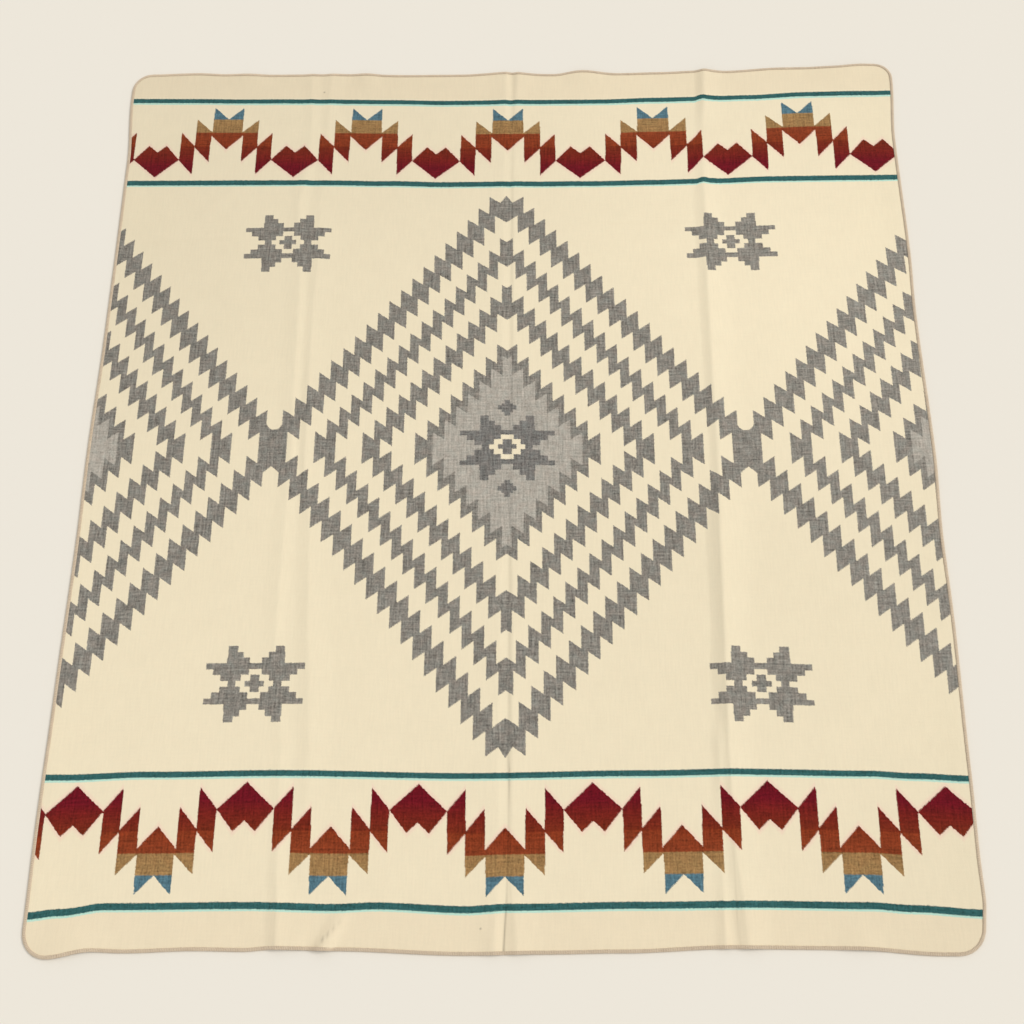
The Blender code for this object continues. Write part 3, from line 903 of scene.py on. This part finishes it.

    # The dyed colours, each over the one before, and how bright the yarn's unevenness, its slubs and the
    # painted light and shade make them
    colour = mixed(tree, (out > HEM_START) * HEM_SHARE, CREAM, END_CREAM)
    colour = mixed(tree, bleed, colour, PINK)
    colour = mixed(tree, pale * PALE_SHARE, colour, PALE_TEAL)
    colour = mixed(tree, centre, colour, LIGHT_GREY)
    colour = mixed(tree, grey, colour, DARK_GREY)
    colour = mixed(tree, grey * centre, colour, STAR_GREY)
    colour = mixed(tree, ring, colour, CREAM)
    colour = mixed(tree, figure, colour, dyes)
    colour = mixed(tree, stripe, colour, TEAL)
    strong = grey.either(figure * 0.8).either(stripe * 0.8).either(centre * 0.6).unless(ring)
    # The painted light and shade, read from the sheet's points
    painted_light_and_shade = tree.nodes.new("ShaderNodeAttribute")
    painted_light_and_shade.attribute_name = "painted_light_and_shade"
    shade = heather * (strong * 1.35 + 0.046) + warp_streak * 0.020 + cloud * 0.022 + 1.0
    # Grey is made lighter towards the right
    lighter_right = (raw_across.either(GREY_LIGHTER_FROM) - GREY_LIGHTER_FROM) * grey * GREY_LIGHTER_SHARE
    shade = (shade + lighter_right) * Measure(tree, painted_light_and_shade.outputs["Fac"]) * slub.rest()
    scaled = tree.nodes.new("ShaderNodeVectorMath")
    scaled.operation = "SCALE"
    tree.links.new(colour, scaled.inputs[0])
    tree.links.new(shade.source, scaled.inputs["Scale"])
    warm = tree.nodes.new("ShaderNodeVectorMath")
    warm.operation = "MULTIPLY_ADD"
    tinted = tree.nodes.new("ShaderNodeCombineXYZ")
    for socket, amount in zip(tinted.inputs, TINT_SWING):
        tree.links.new((tint * (strong + 0.10) * amount + 1.0).source, socket)
    tree.links.new(scaled.outputs[0], warm.inputs[0])
    tree.links.new(tinted.outputs[0], warm.inputs[1])
    tree.links.new(warm.outputs[0], shader.inputs["Base Color"])

    # Plain weave of soft yarn, raised, under a brushed nap
    yarn_across = (raw_across * (pi / PICK)).reckon("SINE")
    yarn_along = (raw_along * (pi / PICK)).reckon("SINE")
    fuzz = mottle(tree, place, 0.0016, detail=3.0, roughness=0.7)
    relief = yarn_across * yarn_along * 0.45 + fuzz * 0.55 + heather * 0.4
    soft_yarn(tree, shader, relief, rough=fuzz * 0.05 + 0.93, shine=0.05, sheen=0.04)
    shader.inputs["Sheen Roughness"].default_value = 0.6
    shader.inputs["Sheen Tint"].default_value = (1.0, 0.95, 0.86, 1.0)
    return made


# Painted light and shade on the cloth's points, then its woven finish
lay_painted_tone(cloth, painted_tone(cloth_x, cloth_y))
cloth.data.materials.append(alpaca_weave())
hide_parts("cloth")
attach(cloth, "root")

# The edging
# An overlocked edge of soft taupe yarn, sewn once round the cloth by machine. Its loops lie side
# by side over the cloth's edge and grip both faces.
STITCH_PITCH = 0.0034
STITCH_GRIP = 0.0056
STITCH_HALF_BREADTH = 0.00155
STITCH_HALF_THICK = 0.00050
STITCH_SLANT = 0.0016
STITCH_SIDES = 5
STITCH_CLEAR = 0.0002
STITCH_OUT = 0.0010
SMALLEST_STITCH = (0.94, 0.94, 0.97)
UNEVENNESS = 0.12
WRAP_THICK = 0.0004
WRAP_CLEAR = 0.0001
WRAP_OUT = 0.0008
TAUPE = dyed(207, 187, 162)
TAUPE_LIGHT = dyed(229, 210, 182)


def and_under(upper):
    """Points out from the edge and their heights on the upper side, and the same points turned under."""
    return upper + tuple((out, -height) for out, height in reversed(upper))


def stitch_path():
    """One loop's line, out over the upper face, round the edge and back under."""
    seat = CLOTH_THICK / 2 + STITCH_HALF_THICK + STITCH_CLEAR
    steps = and_under((
        (-STITCH_GRIP, 0.84), (-0.62 * STITCH_GRIP, 1.02), (-0.15 * STITCH_GRIP, 0.96), (STITCH_OUT, 0.52),
    ))
    last = len(steps) - 1
    return [
        Vector((out, STITCH_SLANT * (abs(2.0 * number / last - 1.0) - 0.5), height * seat))
        for number, (out, height) in enumerate(steps)
    ]


def skin(builder, ring_pairs):
    """Faces between rings of points that follow one another."""
    for ring, following in ring_pairs:
        for side, corner in enumerate(ring):
            after = (side + 1) % len(ring)
            builder.faces.new([corner, ring[after], following[after], following[side]])


def plain_mesh(builder, name):
    """What has been built, as a mesh with its faces outward."""
    bmesh.ops.recalc_face_normals(builder, faces=builder.faces)
    mesh = bpy.data.meshes.new(name)
    builder.to_mesh(mesh)
    builder.free()
    return mesh


def stitch_mesh():
    """One loop of flattened yarn, with closed ends, out along X and up along Z."""
    path = stitch_path()
    across = Vector((0.0, 1.0, 0.0))
    builder = bmesh.new()
    rings = []
    for number, point in enumerate(path):
        run = path[min(number + 1, len(path) - 1)] - path[max(number - 1, 0)]
        normal = run.cross(across).normalized()
        ring = []
        for side in range(STITCH_SIDES):
            turn = 2.0 * pi * side / STITCH_SIDES
            place = point + across * STITCH_HALF_BREADTH * cos(turn)
            ring.append(builder.verts.new(place + normal * STITCH_HALF_THICK * sin(turn)))
        rings.append(ring)
    skin(builder, zip(rings, rings[1:]))
    builder.faces.new(rings[0][::-1])
    builder.faces.new(rings[-1])
    return plain_mesh(builder, "stitch")


def edging_yarn():
    made, tree, shader = new_finish("edging_yarn")
    place = tree.nodes.new("ShaderNodeTexCoord").outputs["Object"]
    fuzz = mottle(tree, place, 0.0012, detail=3.0, roughness=0.7)
    patch = mottle(tree, place, 0.020)
    share = (fuzz * 0.35 + patch * 0.45 + 0.42).either(0.0).lesser(1.0)
    tree.links.new(mixed(tree, share, TAUPE, TAUPE_LIGHT), shader.inputs["Base Color"])
    soft_yarn(tree, shader, fuzz, rough=fuzz * 0.06 + 0.88, shine=0.2, sheen=0.15)
    return made


def stitching_tree(finish):
    """Loops set side by side along a line that runs round the cloth's edge."""
    tree = bpy.data.node_groups.new("overlock_stitching", "GeometryNodeTree")
    entries = (("Line", "Geometry"), ("Pitch", "Float"), ("Loop", "Object"), ("Unevenness", "Float"))
    for name, kind in entries:
        tree.interface.new_socket(name, in_out="INPUT", socket_type="NodeSocket" + kind)
    tree.interface.new_socket("Stitches", in_out="OUTPUT", socket_type="NodeSocketGeometry")
    nodes = tree.nodes
    links = tree.links
    entry = nodes.new("NodeGroupInput")
    to_curve = nodes.new("GeometryNodeMeshToCurve")
    resample = nodes.new("GeometryNodeResampleCurve")
    resample.mode = "LENGTH"
    links.new(entry.outputs["Line"], to_curve.inputs["Mesh"])
    links.new(to_curve.outputs["Curve"], resample.inputs["Curve"])
    links.new(entry.outputs["Pitch"], resample.inputs["Length"])
    loop = nodes.new("GeometryNodeObjectInfo")
    links.new(entry.outputs["Loop"], loop.inputs["Object"])
    tangent = nodes.new("GeometryNodeInputTangent")
    aim = nodes.new("FunctionNodeAlignRotationToVector")
    aim.axis = "Y"
    aim.pivot_axis = "Z"
    links.new(tangent.outputs[0], aim.inputs["Vector"])
    wobble = nodes.new("FunctionNodeRandomValue")
    wobble.data_type = "FLOAT_VECTOR"
    wobble.inputs["Seed"].default_value = 7
    spread = nodes.new("ShaderNodeVectorMath")
    spread.operation = "SCALE"
    links.new(wobble.outputs[0], spread.inputs[0])
    links.new(entry.outputs["Unevenness"], spread.inputs["Scale"])
    size = nodes.new("ShaderNodeVectorMath")
    size.operation = "ADD"
    size.inputs[1].default_value = SMALLEST_STITCH
    links.new(spread.outputs[0], size.inputs[0])
    place = nodes.new("GeometryNodeInstanceOnPoints")
    links.new(resample.outputs["Curve"], place.inputs["Points"])
    links.new(loop.outputs["Geometry"], place.inputs["Instance"])
    links.new(aim.outputs[0], place.inputs["Rotation"])
    links.new(size.outputs[0], place.inputs["Scale"])
    realize = nodes.new("GeometryNodeRealizeInstances")
    paint = nodes.new("GeometryNodeSetMaterial")
    paint.inputs["Material"].default_value = finish
    result = nodes.new("NodeGroupOutput")
    links.new(place.outputs["Instances"], realize.inputs["Geometry"])
    links.new(realize.outputs["Geometry"], paint.inputs["Geometry"])
    links.new(paint.outputs["Geometry"], result.inputs["Stitches"])
    return tree


def edge_line(points):
    """A closed line of points as an object, for the stitches to follow."""
    mesh = bpy.data.meshes.new("edge_line")
    count = len(points)
    mesh.from_pydata(points, [(number, (number + 1) % count) for number in range(count)], [])
    return set_down("edge_line", mesh)


def edge_wrap(points):
    """The yarn that lies close under the loops: a thin closed wrap swept round the edge."""
    face = CLOTH_THICK / 2 + WRAP_CLEAR
    section = and_under((
        (WRAP_CLEAR, face), (-STITCH_GRIP, face), (-STITCH_GRIP, face + WRAP_THICK),
        (0.2 * WRAP_OUT, face + WRAP_THICK), (WRAP_OUT, 0.4 * face),
    ))
    builder = bmesh.new()
    rings = []
    for number, point in enumerate(points):
        run_in = (point - points[number - 1]).to_2d().normalized()
        run_out = (points[(number + 1) % len(points)] - point).to_2d().normalized()
        run = (run_in + run_out).normalized()
        outwards = Vector((run.y, -run.x, 0.0))
        rings.append([builder.verts.new(point + outwards * out + Vector((0.0, 0.0, height)))
                      for out, height in section])
    skin(builder, zip(rings, rings[1:] + rings[:1]))
    return plain_mesh(builder, "edge_wrap")


def stitched_edge(points):
    """The finished edging: its loops, made plain mesh, with the wrap under them."""
    finish = edging_yarn()
    stitch = bpy.data.objects.new("stitch", stitch_mesh())
    line = edge_line(points)
    stitches = line.modifiers.new("stitches", "NODES")
    stitches.node_group = stitching_tree(finish)
    sockets = {item.name: item.identifier for item in stitches.node_group.interface.items_tree}
    stitches[sockets["Pitch"]] = STITCH_PITCH
    stitches[sockets["Loop"]] = stitch
    stitches[sockets["Unevenness"]] = UNEVENNESS
    bpy.context.view_layer.update()
    evaluated = line.evaluated_get(bpy.context.evaluated_depsgraph_get())
    loops = bpy.data.meshes.new_from_object(evaluated)
    line.modifiers.remove(stitches)
    builder = bmesh.new()
    builder.from_mesh(loops)
    builder.from_mesh(edge_wrap(points))
    mesh = plain_mesh(builder, "overlocked_edge")
    mesh.materials.append(finish)
    mesh.shade_smooth()
    for leftover in (line, stitch):
        bpy.data.objects.remove(leftover, do_unlink=True)
    return set_down("overlocked_edge", mesh)


rim_points = [Vector(low_points[place]) + Vector((0.0, 0.0, CLOTH_THICK / 2)) for place in outline_walk]
edging = stitched_edge(rim_points)
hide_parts("edging")
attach(edging, "root")

# The studio
# A plain pale floor under soft, even light, with one broad lamp high on the right.
FLOOR_SIDE = 30.0
FLOOR = dyed(237, 231, 219)
LAMP_AIM = Vector((-1.0, -0.30, -1.0))
LAMP_POWER = 1.50
LAMP_BREADTH = 24.0
LAMP_WARMTH = (1.0, 0.985, 0.96)
ROOM_POWER = 0.672

floor_mesh = bpy.data.meshes.new("studio_floor")
half = FLOOR_SIDE / 2
floor_mesh.from_pydata([(-half, -half, 0.0), (half, -half, 0.0), (half, half, 0.0), (-half, half, 0.0)], [],
                       [(0, 1, 2, 3)])
floor = set_down("studio_floor", floor_mesh)
paper, _, paper_shader = new_finish("pale_paper")
paper_shader.inputs["Base Color"].default_value = FLOOR
paper_shader.inputs["Roughness"].default_value = 0.9
paper_shader.inputs["Specular IOR Level"].default_value = 0.1
floor.data.materials.append(paper)

lamp = bpy.data.lights.new("broad_lamp", "SUN")
lamp.energy = LAMP_POWER
lamp.angle = radians(LAMP_BREADTH)
lamp.color = LAMP_WARMTH
lamp_stand = set_down("broad_lamp", lamp)
lamp_stand.rotation_euler = LAMP_AIM.to_track_quat("-Z", "Y").to_euler()

room = bpy.data.worlds.new("room_light")
room.use_nodes = True
backdrop = room.node_tree.nodes["Background"]
backdrop.inputs["Color"].default_value = (1.0, 1.0, 1.0, 1.0)
backdrop.inputs["Strength"].default_value = ROOM_POWER
scene.world = room
